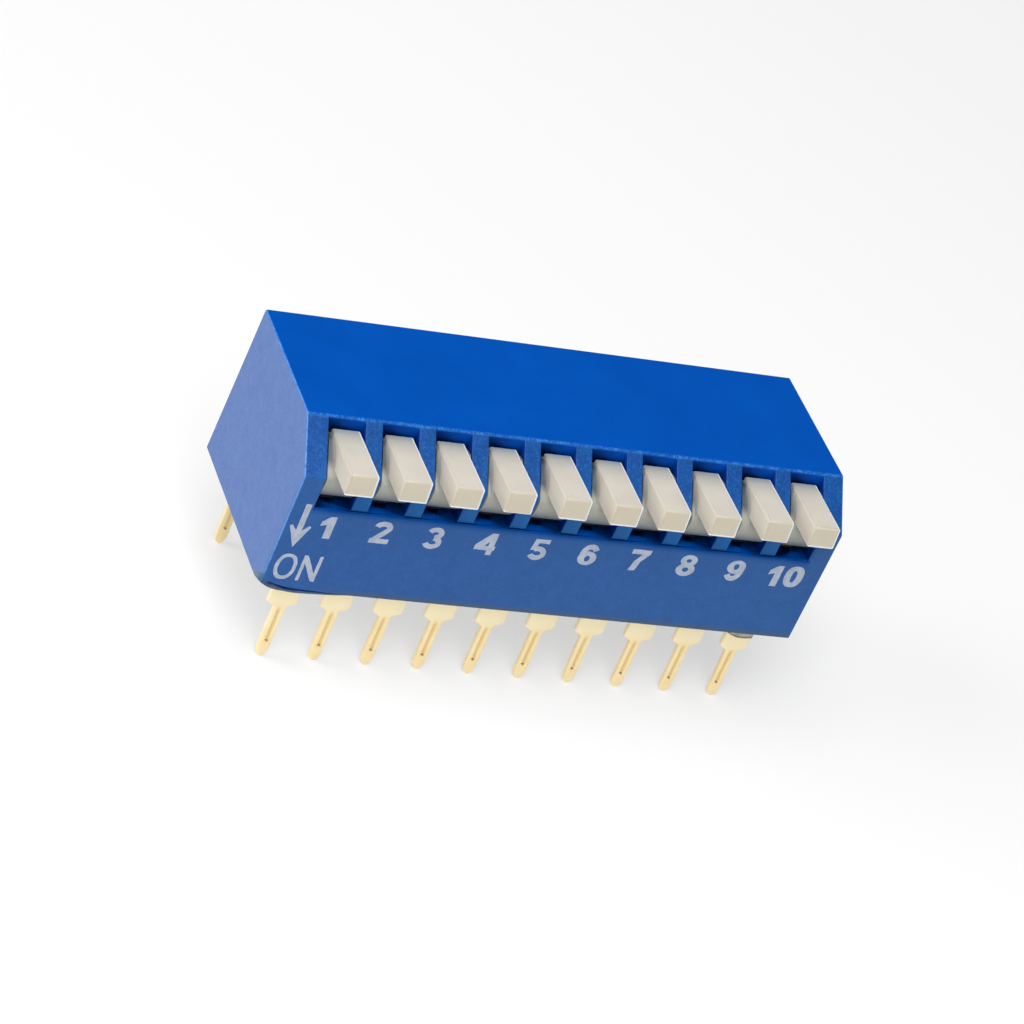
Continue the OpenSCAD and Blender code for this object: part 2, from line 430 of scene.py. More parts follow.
def blue_seam(n, f):
    """Mask of the painted shadow along the lower front edge, a dark line in the gap there, which rises
    over the lip at the worn corner.
    """
    rise = n.fade(f.x, -11.2, -12.95)
    rise = n.times(rise, rise, 0.27 * MM)
    height = n.math("SUBTRACT", f.z, n.math("ADD", rise, UNDER * MM))
    wide = n.fade(f.x, -9.0, -11.2, 0.0, 0.1 * MM)
    wide = n.times(wide, n.fade(f.x, -13.08, -12.9))
    line = n.math("LESS_THAN", n.math("ABSOLUTE", height), wide)
    return n.times(line, f.front, n.span(f.fine, 0.2, 0.45, 0.7, 1.0))


def blue_grime(n, f, color):
    """Grime on the end face at the worn corner."""
    slope = n.math("ADD", f.z, n.times(f.y, 0.63))
    patch = n.times(
        n.fade(slope, -0.80, -0.92),
        n.fade(f.x, -13.2, -13.28),
        n.fade(f.y, -3.5, -3.65),
    )
    grime = n.mix(n.fade(f.y, -3.9, -4.6), (0.19, 0.26, 0.28), (0.035, 0.12, 0.24))
    color = n.mix(n.times(patch, n.span(f.specks, 0.3, 0.5, 0.5, 0.95)), color, grime)
    dots = n.times(patch, n.span(f.grit, 0.52, 0.6), 0.75)
    return n.mix(dots, color, (0.010, 0.045, 0.065))


def blue_plastic():
    n = Nodes("housing_blue")
    f = blue_fields(n)
    seam_shadow = blue_seam(n, f)
    color = blue_base(n, f)
    color = blue_front(n, f, color)
    color = blue_roof_edge(n, f, color)
    color = blue_ends(n, f, color)
    # painted shadow: the dark line along the lower front edge
    color = n.mix(seam_shadow, color, (0.004, 0.028, 0.125))
    n.set(Base_Color=blue_grime(n, f, color))
    rough = n.span(f.fine, 0.25, 0.75, 0.44, 0.58)
    n.set(Roughness=n.mix(f.deep, rough, (0.3, 0.3, 0.3)))
    gloss = n.times(
        n.span(f.deep, 0.0, 1.0, 0.40, 0.06),
        n.span(f.nose, 0.0, 1.0, 1.0, 0.55),
        n.span(seam_shadow, 0.0, 0.7, 1.0, 0.0),
        n.span(f.brow, 0.0, 1.0, 1.0, 0.2),
    )
    n.set(Specular_IOR_Level=gloss)
    n.set(Normal=n.bump(f.mottle, 0.02, 0.35, n.bump(f.grit, 0.014, 0.9)))
    return n.mat


def hub_grime(n, px, pz, side):
    """Painted shade on a hub: darker low down and, near the top, towards the slot's wall."""
    low = n.ramp(n.fade(pz, 6.4, 8.0), (
        (0.0, (0.26, 0.325, 0.41)),
        (0.19, (0.34, 0.41, 0.47)),
        (0.33, (0.43, 0.48, 0.52)),
        (0.5, (0.51, 0.56, 0.575)),
        (0.62, (0.54, 0.585, 0.59)),
        (0.78, (0.51, 0.55, 0.555)),
        (1.0, (0.50, 0.53, 0.52)),
    ))
    gap = n.math("SUBTRACT", side * MM, px)
    high = n.ramp(n.fade(gap, 0.0, 0.22), (
        (0.0, (0.62, 0.60, 0.55)),
        (0.14, (0.47, 0.475, 0.46)),
        (0.34, (0.22, 0.24, 0.27)),
        (0.66, (0.08, 0.115, 0.165)),
        (1.0, (0.05, 0.10, 0.20)),
    ))
    return n.mix(n.fade(pz, 7.85, 8.15), low, high)


def hub_shadow(n, py, pz):
    """Shade on a lever's side, by the distance from the pivot line."""
    y = n.math("SUBTRACT", py, PIVOT[0] * MM)
    z = n.math("SUBTRACT", pz, PIVOT[1] * MM)
    away = n.math("SQRT", n.math("ADD", n.times(y, y), n.times(z, z)))
    return n.ramp(n.fade(away, 1.38, 1.78), (
        (0.0, (0.93, 0.93, 0.93)),
        (0.3, (0.95, 0.95, 0.95)),
        (0.6, (0.985, 0.985, 0.985)),
        (1.0, (1, 1, 1)),
    ))


def root_gloom(n, py):
    """Painted shade on the root of a lever, tinted with the slot's blue."""
    return n.ramp(n.fade(py, -5.3, -3.0), (
        (0.0, (1, 1, 1)),
        (0.35, (0.985, 0.985, 0.98)),
        (0.57, (0.915, 0.93, 0.925)),
        (0.74, (0.79, 0.815, 0.825)),
        (0.87, (0.66, 0.705, 0.745)),
        (1.0, (0.44, 0.53, 0.65)),
    ))


def key_plastic(name="key_cream", lift=0.0, dim=0.0, side=None, warm=None):
    """lift pales the plastic and makes it glow faintly, a painted highlight for the edges that catch the
    light; dim darkens it, as painted shade, for the soft ones.

    side is for a hub, which gets painted shade: the x, in mm, of the left side of the lever that stands on
    it.
    warm is the darker colour of that side of the lever, painted shade that deepens towards the hub.
    """
    n = Nodes(name)
    px, py, pz = n.axes()
    big = n.noise(0.8, 3, 0.5)
    fine = n.noise(7.0, 4, 0.6)
    color = n.mix(n.span(big, 0.3, 0.7), (0.635, 0.590, 0.520), (0.685, 0.640, 0.565))
    # noses are yellower
    color = n.mix(n.times(n.fade(py, -5.9, -6.15), 0.8), color, (0.615, 0.560, 0.420))
    if side is not None:
        # painted shade on the hub
        color = n.tint(color, hub_grime(n, px, pz, side))
    # painted shade on the lever's left side
    if warm:
        color = n.tint(n.mix(0.9, color, warm), hub_shadow(n, py, pz))
    # painted shade: the first lever's left side is darkened, as it has no neighbour to lighten it
    color = n.mix(n.fade(px, -11.97, -12.01, 0.0, 0.16), color, (0.2, 0.2, 0.19))
    # painted shade towards the root of the lever
    color = n.tint(color, root_gloom(n, py))
    # painted shade on the soft edges
    if dim:
        color = n.mix(dim, color, (0.06, 0.05, 0.04))
    # painted highlight: paler plastic and a faint glow on the lit edges
    if lift:
        color = n.mix(lift, color, (0.86, 0.91, 0.97))
        n.set(Emission_Color=(0.95, 0.98, 1.0), Emission_Strength=0.07)
    n.set(Base_Color=color)
    n.set(Roughness=n.span(fine, 0.25, 0.75, 0.46, 0.58), Specular_IOR_Level=0.4)
    n.set(Subsurface_Weight=0.12, Subsurface_Scale=0.0004)
    n.set(Normal=n.bump(fine, 0.004, 0.5))
    return n.mat


def pin_groove(n, off, pz):
    """Mask of the painted shade along the groove, a brown line which drifts a little to the right towards
    the tip.
    """
    middle = n.fade(pz, -0.3, -2.2, -0.03 * MM, 0.01 * MM)
    line = n.fade(n.math("ABSOLUTE", n.math("SUBTRACT", off, middle)), 0.12, 0.05)
    run = n.times(n.fade(pz, -0.25, -0.5), n.fade(pz, -2.32, -2.2))
    return n.times(line, run, 0.6)


def pin_dimple(n, off, px, pz):
    """Mask of the painted shade in the dimple near the tip, a short dark dash that falls to the right."""
    cos, sin = 0.83, 0.56
    high = n.math("ADD", n.math("ADD", pz, n.times(px, 0.003)), 2.29 * MM)
    tip = n.math("SUBTRACT", off, 0.015 * MM)
    along = n.math("SUBTRACT", n.times(tip, cos), n.times(high, sin))
    over = n.math("ADD", n.times(tip, sin), n.times(high, cos))
    along = n.fade(n.math("ABSOLUTE", along), 0.12, 0.06)
    over = n.fade(n.math("ABSOLUTE", over), 0.07, 0.03)
    return n.times(along, over, 0.9)


def gold_plate(name, tone=1.0):
    n = Nodes(name)
    px, _, pz = n.axes()
    big = n.noise(1.2, 3, 0.5)
    fine = n.noise(12.0, 3, 0.6, stretch=(1, 1, 0.15))
    deep = tuple(tone * c for c in (0.97, 0.76, 0.40))
    pale = tuple(tone * c for c in (0.99, 0.83, 0.50))
    color = n.mix(n.span(big, 0.3, 0.7), deep, pale)
    # paler shoulders
    color = n.mix(n.times(n.fade(pz, -0.4, 0.0), 0.75), color, (0.985, 0.885, 0.61))
    # distance to the right of the pin's middle
    turn = n.math("MODULO", n.math("ADD", px, 50 * PITCH * MM), PITCH * MM)
    off = n.math("SUBTRACT", turn, PITCH / 2 * MM)
    # painted shade in the groove
    color = n.mix(pin_groove(n, off, pz), color, (0.66, 0.44, 0.14))
    # painted shade in the dimple
    color = n.mix(pin_dimple(n, off, px, pz), color, (0.25, 0.13, 0.03))
    n.set(Base_Color=color)
    n.set(Metallic=0.45, Roughness=n.span(fine, 0.2, 0.8, 0.36, 0.5))
    # a faint glow, painted light that brightens the pins
    n.set(Emission_Color=(1.0, 0.85, 0.38), Emission_Strength=0.05)
    n.set(Normal=n.bump(fine, 0.003, 0.4))
    return n.mat


def dark_plastic():
    n = Nodes("base_dark")
    fine = n.noise(6.0, 4, 0.6)
    n.set(Base_Color=n.mix(fine, (0.018, 0.018, 0.02), (0.035, 0.035, 0.038)))
    n.set(Roughness=n.span(fine, 0.25, 0.75, 0.5, 0.65))
    n.set(Normal=n.bump(fine, 0.006, 0.5))
    return n.mat


def resin():
    n = Nodes("potting_resin")
    big = n.noise(0.9, 4, 0.6)
    fine = n.noise(5.0, 3, 0.5)
    n.set(Base_Color=n.mix(n.span(big, 0.3, 0.7), (0.010, 0.022, 0.022), (0.030, 0.045, 0.038)))
    n.set(Roughness=n.span(fine, 0.25, 0.75, 0.22, 0.4), Coat_Weight=0.15)
    n.set(Normal=n.bump(big, 0.03, 0.5))
    return n.mat


def film(name, light, dark):
    n = Nodes(name)
    big = n.noise(2.4, 4, 0.6)
    n.set(Base_Color=n.mix(n.span(big, 0.35, 0.65), light, dark))
    n.set(Roughness=n.span(big, 0.25, 0.75, 0.25, 0.45))
    n.set(Normal=n.bump(big, 0.02, 0.5))
    return n.mat


def ink():
    n = Nodes("print_ink")
    fine = n.noise(9.0, 4, 0.65)
    blotch = n.noise(3.0, 3, 0.6)
    n.set(Base_Color=n.mix(n.span(blotch, 0.35, 0.65), (0.375, 0.43, 0.54), (0.475, 0.54, 0.655)))
    n.set(Roughness=n.span(fine, 0.25, 0.75, 0.5, 0.65), Specular_IOR_Level=0.3)
    n.set(Normal=n.bump(fine, 0.004, 0.5))
    return n.mat


BLUE = blue_plastic()
CREAM = key_plastic()
GOLD = gold_plate("terminal_gold")
# painted highlight and faint glow for the lit edges
CREAM_EDGE = key_plastic("key_cream_edge", lift=0.85)
# painted shade for the soft edges
CREAM_SOFT = key_plastic("key_cream_soft", dim=0.17)
# painted shade for the left sides of the levers
CREAM_LEFT = key_plastic("key_cream_left", warm=(0.70, 0.635, 0.52))
DARK = dark_plastic()
RESIN = resin()
INK = ink()
LIP = film("housing_lip", (0.006, 0.034, 0.12), (0.055, 0.095, 0.15))
FILM = film("resin_film", (0.62, 0.63, 0.58), (0.34, 0.33, 0.24))
FILM_EDGE = film("resin_film_edge", (0.30, 0.21, 0.09), (0.17, 0.12, 0.06))
BLADE_GOLD = gold_plate("contact_gold", 0.95)


def paint_node(name, mat):
    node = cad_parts[name]
    node.data.materials.clear()
    node.data.materials.append(mat)


paint_node("base", DARK)
paint_node("seal", RESIN)
for i in range(1, COUNT + 1):
    paint_node(f"contact_{i}", BLADE_GOLD)


# ---------------------------------------------------------------- housing
def cut_noses(obj):
    """The rib noses stand back above the sill."""
    over = TOP + 0.5
    foot_y, top_y = front_y(SILL) + SETBACK, front_y(CH_Z) + SETBACK
    bm = bmesh.new()
    prism(bm, [(AHEAD, SILL), (foot_y, SILL), (top_y, over), (AHEAD, over)], -SLOTS_HALF, SLOTS_HALF)
    cut(obj, bm)


def cut_slots(obj):
    """Slots, and the chambers behind them."""
    front, rear = CHAMBER
    wide_front, wide_rear = RECESS
    foot = BASE_TOP - 0.05
    over = TOP + 1
    profile = [(AHEAD, SILL), (front, SILL), (front, BEND_TOP), (wide_front, BEND_TOP), (wide_front, foot)]
    profile += [(wide_rear, foot), (wide_rear, BEND_TOP), (rear, BEND_TOP), (rear, ROOF_UNDER)]
    profile += [(SLOT_REAR, ROOF_UNDER), (SLOT_REAR, over), (AHEAD, over)]
    bm = bmesh.new()
    for i in range(1, COUNT + 1):
        prism(bm, profile, key_x(i) - SLOT_W / 2, key_x(i) + SLOT_W / 2)
    cut(obj, bm)


def cut_recess(obj):
    """Recess for base and resin."""
    front, rear = RECESS
    below = UNDER - 1
    profile = [(front, below), (rear, below), (rear, BASE_TOP), (front, BASE_TOP)]
    bm = bmesh.new()
    prism(bm, profile, -HALF_L + SKIRT, HALF_L - SKIRT)
    cut(obj, bm)


def cut_bores(obj):
    """Blind bores for the key stubs."""
    bm = bmesh.new()
    for i in range(1, COUNT + 1):
        x = key_x(i)
        rod(bm, x - SLOT_W / 2 - BORE_L, x + SLOT_W / 2 + BORE_L, BORE_R, *PIVOT)
    cut(obj, bm)


def wear_corner(obj):
    """Worn lower corner at the left of the front: three facets, each by its reach in Y, Z and X."""
    bm = bmesh.new()
    bm.from_mesh(obj.data)
    for back, rise, along in ((0.85, 0.27, 0.45), (0.50, 0.40, 0.80), (0.28, 0.60, 1.25)):
        a = Vector((-HALF_L, back - FRONT_FOOT, UNDER))
        b = Vector((-HALF_L, -FRONT_FOOT, UNDER + rise))
        c = Vector((along - HALF_L, -FRONT_FOOT, UNDER))
        normal = (b - a).cross(c - a).normalized()
        if normal.z > 0:
            normal = -normal
        geom = bm.verts[:] + bm.edges[:] + bm.faces[:]
        bmesh.ops.bisect_plane(bm, geom=geom, plane_co=a * MM, plane_no=normal, clear_outer=True)
        bmesh.ops.holes_fill(bm, edges=[e for e in bm.edges if e.is_boundary], sides=0)
    bmesh.ops.recalc_face_normals(bm, faces=bm.faces[:])
    bm.to_mesh(obj.data)
    bm.free()


def housing_edge(e, a, b):
    """Rounding of the housing's edges, in mm."""
    near = 0.02
    level = abs(a.z - b.z) < near
    if not e.is_convex:
        return 0.0
    if min(abs(a.x), abs(b.x)) > HALF_L - near:
        return 0.075
    if level and abs(a.z - TOP) < near:
        return 0.075
    if level and abs(a.z - UNDER) < near:
        return 0.04
    # inside the block
    if a.y > -2.6 or b.y > -2.6 or min(a.z, b.z) < SILL - 0.05:
        return 0.0
    if level and (abs(a.z - ROOF_UNDER) < near or abs(a.y - CHAMBER[0]) < near):
        return 0.0
    # mouths of the bores
    if math.hypot(a.y - PIVOT[0], a.z - PIVOT[1]) < BORE_R + 0.03:
        return 0.0
    if level and abs(a.z - SILL) < near:
        return 0.115
    # front corners of the blocks at both ends
    if abs(abs(a.x) - SLOTS_HALF) < near and max(a.y, b.y) < -4.6 and not level:
        return 0.09
    return 0.06


def build_housing():
    front_top = (front_y(CH_Z), CH_Z)
    block = [(-FRONT_FOOT, UNDER), (REAR_FOOT, UNDER), (REAR_TOP_Y, TOP), (CH_TOP_Y, TOP), front_top]
    bm = bmesh.new()
    prism(bm, block, -HALF_L, HALF_L)
    obj = new_object("housing_shell", bm, [BLUE])
    cut_noses(obj)
    cut_slots(obj)
    cut_recess(obj)
    cut_bores(obj)
    wear_corner(obj)
    round_edges(obj, housing_edge, 3)
    shade(obj)
    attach(obj, "switch_body")
    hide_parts("housing")


build_housing()


# x, y and z of the lip's middle, and its half height
LIP_PATH = (
    (-13.25, -3.80, 1.44, 0.02),
    (-13.24, -4.12, 1.50, 0.05),
    (-13.20, -4.45, 1.60, 0.08),
    (-13.06, -4.66, 1.60, 0.13),
    (-12.75, -4.71, 1.52, 0.16),
    (-12.40, -4.71, 1.45, 0.16),
    (-11.66, -4.71, 1.37, 0.15),
    (-11.05, -4.71, 1.36, 0.13),
    (-10.26, -4.71, 1.38, 0.11),
    (-9.65, -4.71, 1.39, 0.08),
    (-9.13, -4.72, 1.40, 0.05),
    (-8.60, -4.72, 1.41, 0.02),
)
# half depth of the lip
LIP_DEEP = 0.11


def curve_point(path, k, t):
    """Point at t, from 0 to 1, on the smooth curve from path[k] to path[k + 1]."""
    before = Vector(path[max(k - 1, 0)])
    a = Vector(path[k])
    b = Vector(path[k + 1])
    after = Vector(path[min(k + 2, len(path) - 1)])
    linear = (b - before) * t
    square = (2 * before - 5 * a + 4 * b - after) * t ** 2
    cube = (3 * a - before - 3 * b + after) * t ** 3
    return 0.5 * (2 * a + linear + square + cube)


def build_lip():
    """Bead of plastic that bulges from under the edge at the worn corner."""
    steps, points = 6, 14
    bm = bmesh.new()
    rings = []
    for k in range(len(LIP_PATH) - 1):
        run = (Vector(LIP_PATH[k + 1]) - Vector(LIP_PATH[k])).xy.normalized()
        for m in range(steps):
            q = curve_point(LIP_PATH, k, m / steps)
            side = Vector((run.y, -run.x, 0)) * min(LIP_DEEP, q.w * 1.2)
            rise = q.w * (1 + 0.08 * noise.noise(Vector((q.x * 4, q.y * 4, 3))))
            ring = []
            for j in range(points):
                turn = 2 * math.pi * j / points
                spot = q.xyz + side * math.cos(turn) + Vector((0, 0, rise * math.sin(turn)))
                ring.append(bm.verts.new(spot * MM))
            rings.append(ring)
    skin(bm, rings)
    bmesh.ops.recalc_face_normals(bm, faces=bm.faces[:])
    obj = new_object("front_lip", bm, [LIP])
    shade(obj)
    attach(obj, "switch_body")


build_lip()


# ---------------------------------------------------------------- print
def arc(cx, cz, rx, rz, a0, a1, n=16):
    turns = [math.radians(a0 + (a1 - a0) * k / n) for k in range(n + 1)]
    return [(cx + rx * math.cos(a), cz + rz * math.sin(a)) for a in turns]


def oval(cx, cz, rx, rz, power=1.0, n=36):
    """Ellipse; a power under 1 squares it up."""
    pts = []
    for k in range(n):
        c = math.cos(2 * math.pi * k / n)
        s = math.sin(2 * math.pi * k / n)
        x = cx + rx * math.copysign(abs(c) ** power, c)
        z = cz + rz * math.copysign(abs(s) ** power, s)
        pts.append((x, z))
    return pts


def box(x0, z0, x1, z1):
    return [(x0, z0), (x1, z0), (x1, z1), (x0, z1)]


def stroke(path, width):
    """Outline of a line of even width."""
    left, right = [], []
    for k, (x, z) in enumerate(path):
        ax, az = path[max(k - 1, 0)]
        bx, bz = path[min(k + 1, len(path) - 1)]
        d = math.hypot(bx - ax, bz - az)
        nx, nz = (az - bz) / d * width / 2, (bx - ax) / d * width / 2
        left.append((x + nx, z + nz))
        right.append((x - nx, z - nz))
    return left + right[::-1]


# the outlines with the most corners, and the strokes of the six, which the nine shares
ONE = [(0.32, -0.05), (0.66, -0.05), (0.66, 1.14), (0.38, 1.14), (0.03, 0.85), (0.02, 0.60), (0.32, 0.71)]
SEVEN = [(0, 0.94), (0.56, 0.94), (0.30, 0.55), (0.17, 0), (0.48, 0), (0.62, 0.55), (0.95, 1.0)]
SEVEN += [(0.95, 1.2), (0, 1.2)]
BARB = [(0.50, 0), (0.99, 1.15), (0.90, 1.22), (0.63, 0.94), (0.35, 0.94), (0.10, 1.22), (0, 1.14)]
SIX = [
    (1, oval(0.47, 0.40, 0.46, 0.39)),
    (1, stroke(arc(0.50, 0.62, 0.33, 0.44, 190, 32), 0.28)),
    (0, oval(0.48, 0.38, 0.13, 0.17)),
]
# each figure is solids (1) and openings (0) in mm from its lower left; the numbers are 1.2 high
FIGURES = {
    "1": [(1, ONE)],
    "2": [
        (1, stroke(arc(0.455, 0.85, 0.30, 0.22, 172, -35) + [(0.20, 0.20)], 0.27)),
        (1, box(0, 0, 0.92, 0.25)),
    ],
    "3": [
        (1, stroke(arc(0.42, 0.86, 0.28, 0.205, 165, -90), 0.26)),
        (1, stroke(arc(0.42, 0.36, 0.31, 0.235, 90, -165), 0.26)),
    ],
    "4": [
        (1, box(0.65, 0, 0.92, 1.2)),
        (1, box(0, 0.25, 1.0, 0.48)),
        (1, [(0, 0.40), (0.40, 0.40), (0.75, 0.86), (0.75, 1.2), (0.62, 1.2), (0, 0.50)]),
    ],
    "5": [
        (1, box(0.14, 0.95, 0.86, 1.18)),
        (1, [(0.05, 0.55), (0.30, 0.55), (0.38, 1.1), (0.14, 1.1)]),
        (1, stroke(arc(0.44, 0.385, 0.315, 0.255, 128, -158), 0.26)),
    ],
    "6": SIX,
    "7": [(1, SEVEN)],
    "8": [
        (1, oval(0.47, 0.87, 0.42, 0.33)),
        (1, oval(0.47, 0.35, 0.47, 0.36)),
        (0, oval(0.47, 0.87, 0.13, 0.10)),
        (0, oval(0.47, 0.36, 0.15, 0.13)),
    ],
    "9": [(kind, [(0.94 - x, 1.2 - z) for x, z in pts]) for kind, pts in SIX],
    "0": [(1, oval(0.485, 0.6, 0.485, 0.61, 0.85)), (0, oval(0.485, 0.6, 0.13, 0.34, 0.85))],
    "O": [(1, oval(0.5, 0.7, 0.5, 0.71, 0.88)), (0, oval(0.5, 0.7, 0.33, 0.53, 0.88))],
    "N": [
        (1, box(0, 0, 0.155, 1.4)),
        (1, box(0.735, 0, 0.89, 1.4)),
        (1, [(0, 1.4), (0, 1.23), (0.71, 0), (0.89, 0), (0.89, 0.17), (0.18, 1.4)]),
    ],
    "arrow": [(1, box(0.35, 0.9, 0.62, 2.37)), (1, BARB)],
}
# pins the offsets of noise_vector, which would else come from the clock
noise.seed_set(1)


def ragged(pts, dx, dz):
    """The outline placed on the face, with the slightly uneven edge of pad printing."""
    step, uneven = 0.05, 0.014
    out = []
    for (x0, z0), (x1, z1) in zip(pts, pts[1:] + pts[:1]):
        parts = max(1, round(math.hypot(x1 - x0, z1 - z0) / step))
        for k in range(parts):
            x = dx + x0 + (x1 - x0) * k / parts
            z = dz + z0 + (z1 - z0) * k / parts
            push = noise.noise_vector(Vector((x * 5, z * 5, 0))) * uneven
            out.append((x + push.x, z + push.y))
    return out


def slab(pts, proud, deep):
    """Closed thin piece over the outline, on the drafted front face."""
    bm = bmesh.new()
    near_side = [place(bm, x, front_y(z) - proud, z) for x, z in pts]
    far_side = [place(bm, x, front_y(z) + deep, z) for x, z in pts]
    bm.faces.new(near_side)
    bm.faces.new(far_side[::-1])
    band(bm, near_side, far_side)
    bmesh.ops.recalc_face_normals(bm, faces=bm.faces[:])
    return bm


def print_figure(name, figure, dx, dz):
    obj = None
    for k, (kind, pts) in enumerate(FIGURES[figure]):
        outline = ragged(pts, dx, dz)
        # each stroke a hair thicker than the last, so that no two faces share a plane
        proud, deep = 0.005 + 0.0007 * k, 0.06 + 0.004 * k
        if obj is None:
            obj = new_object(name, slab(outline, proud, deep), [INK])
        elif kind:
            join(obj, slab(outline, proud, deep))
        else:
            cut(obj, slab(outline, 0.1, 0.2))
    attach(obj, "switch_body")


# left side of each number from 1 to 9
NUMBER_X = (-11.73, -9.25, -6.72, -4.25, -1.62, 0.85, 3.38, 5.88, 8.37)
# the line of numbers: its height at NUMBER_FROM, and its fall to the right
NUMBER_Z, NUMBER_FROM, NUMBER_FALL = 4.46, -11.3, 0.0033
for i, x in enumerate(NUMBER_X, 1):
    print_figure(f"print_{i}", str(i), x, NUMBER_Z - NUMBER_FALL * (x - NUMBER_FROM))
print_figure("print_10_one", "1", 10.57, 4.39)
print_figure("print_10_zero", "0", 11.45, 4.39)
print_figure("print_arrow", "arrow", -13.07, 3.78)
print_figure("print_on_o", "O", -13.0, 2.0)
print_figure("print_on_n", "N", -11.82, 2.0)


# ---------------------------------------------------------------- keys
KEY_W, HUB_W, HUB_R = 1.36, 1.68, 1.35
# flat of a hub: its distance from the pivot, a hair under the chamfer, and its direction in degrees
FLAT_AWAY, FLAT_TURN = 1.035, 133
# how far a hub swells past HUB_R under its lever
HUB_SWELL = 0.09
# lever from the pivot: nose, its lean, top, underside and back
REACH, LEAN, RISE, NOSE, BACK = 2.85, 0.15, 1.54, 0.48, 0.37
# tail: half thickness and half width, and how far its top and the middle of its tip are under the pivot
TAIL_R, TAIL_HALF, TAIL_TOP, TAIL_L = 0.3, 0.4, 0.8, 2.6
# each lever sits a little off its slot's middle, in mm, and a little high or low, in degrees
KEY_SHIFT = (0.08, 0.05, -0.03, -0.04, 0.12, 0.09, -0.04, -0.03, 0.12, -0.01)
KEY_DIP = (-0.3, -0.3, 0.0, -1.0, -0.4, 0.2, 0.2, 0.0, -0.7, 0.4)
# material slots of a key, after CREAM: EDGE has the painted highlight, SOFT, HUB and LEFT have painted
# shade
EDGE, SOFT, HUB, LEFT = 1, 2, 3, 4


def smooth(t):
    t = max(0.0, min(1.0, t))
    return t * t * (3 - 2 * t)


def hub_radius(a, dip, grown):
    """Radius at angle a, from the section dressed flush with the chamfer (grown 0) to the full one (1)."""
    off = math.degrees(a - dip) - FLAT_TURN
    dressed = HUB_R
    if abs(off) < 60:
        dressed = min(HUB_R, FLAT_AWAY / math.cos(math.radians(off)))
    full = HUB_R + HUB_SWELL * smooth((off + 63) / 14) * smooth((24 - off) / 14)
    return dressed + (full - dressed) * grown


def hub(bm, middle, side, dip):
    """Round hub, dressed flush with the chamfer beside the lever, whose left side is at x = side."""
    points = 96
    left, right = middle - HUB_W / 2, middle + HUB_W / 2
    far = side + KEY_W
    # x, how far the section has grown from the dressed form to the full one, and a trim
    sections = [(left, 0.0, 0.015), (left + 0.02, 0.0, 0.0)]
    for t in (0.25, 0.5, 0.7, 0.85, 0.95, 1.0):
        sections.append((left + 0.02 + (side - left - 0.01) * t, 1 - math.sqrt(1 - t * t), 0.0))
    sections += [(far - 0.12, 1.0, 0.0), (far - 0.05, 0.0, 0.0), (right - 0.03, 0.0, 0.0)]
    sections.append((right, 0.0, 0.035))
    rings = []
    for x, grown, trim in sections:
        ring = []
        for k in range(points):
            a = 2 * math.pi * k / points
            r = hub_radius(a, dip, grown) - trim
            ring.append(place(bm, x, PIVOT[0] + r * math.cos(a), PIVOT[1] + r * math.sin(a)))
        rings.append(ring)
    skin(bm, rings)
    for f in bm.faces:
        f.material_index = HUB


def lever_slot(normal):
    """Material slot of a lever's face, by its normal: painted highlight on the faces that catch the light,
    painted shade on the left ones.
    """
    x, y, z = normal
    lit = 0.1 < x < 0.96 and (z > 0.3 or y < -0.3)
    under = z < -0.05 and (y < -0.3 or -0.96 < x < -0.3)
    if lit or under:
        return EDGE
    if -0.96 < x < -0.1:
        return SOFT
    if x < -0.96:
        return LEFT
    return 0


def build_lever(i, mid, dip):
    """The bar that a finger presses; dip is in radians."""

    def turned(y, z):
        c, s = math.cos(dip), math.sin(dip)
        return (PIVOT[0] + y * c - z * s, PIVOT[1] + y * s + z * c)

    def soft(e, a, b):
        """Rounding of the lever's edges, in mm."""
        if a.z + b.z < 2 * (PIVOT[1] + NOSE + 0.3):
            return 0.13 if max(a.y, b.y) < PIVOT[0] - REACH + 0.4 else 0.08
        if min(a.y, b.y) > PIVOT[0]:
            return 0.07
        return 0.12 if a.x + b.x > 2 * mid + KEY_W * 0.9 else 0.10

    corners = ((BACK + 0.14, RISE - 0.03), (LEAN - REACH, RISE), (-REACH, NOSE), (BACK, NOSE))
    bm = bmesh.new()
    prism(bm, [turned(y, z) for y, z in corners], mid - KEY_W / 2, mid + KEY_W / 2)
    obj = new_object(f"key_lever_{i}", bm, [CREAM])
    round_edges(obj, soft, 4)
    # the hub's cream carries painted shade
    hub_cream = key_plastic(f"key_cream_hub_{i}", side=mid - KEY_W / 2)
    for mat in (CREAM_EDGE, CREAM_SOFT, hub_cream, CREAM_LEFT):
        obj.data.materials.append(mat)
    for p in obj.data.polygons:
        p.material_index = lever_slot(p.normal)
    return obj


def add_stubs_and_tail(obj, x):
    """Stubs and tail, hidden in the housing."""
    root, end = HUB_W / 2 - 0.1, SLOT_W / 2 + STUB_L
    bm = bmesh.new()
    bm.from_mesh(obj.data)
    seen = len(bm.faces)
    rod(bm, x - end, x - root, STUB_R, *PIVOT, n=32)
    rod(bm, x + root, x + end, STUB_R, *PIVOT, n=32)
    turns = [math.pi * (1 + k / 16) for k in range(17)]
    tail = around(PIVOT[0], PIVOT[1] - TAIL_L, TAIL_R, turns)
    tail += [(PIVOT[0] + TAIL_R, PIVOT[1] - TAIL_TOP), (PIVOT[0] - TAIL_R, PIVOT[1] - TAIL_TOP)]
    prism(bm, tail, x - TAIL_HALF, x + TAIL_HALF)
    bm.faces.ensure_lookup_table()
    for f in bm.faces[seen:]:
        f.material_index = HUB
    bm.to_mesh(obj.data)
    bm.free()


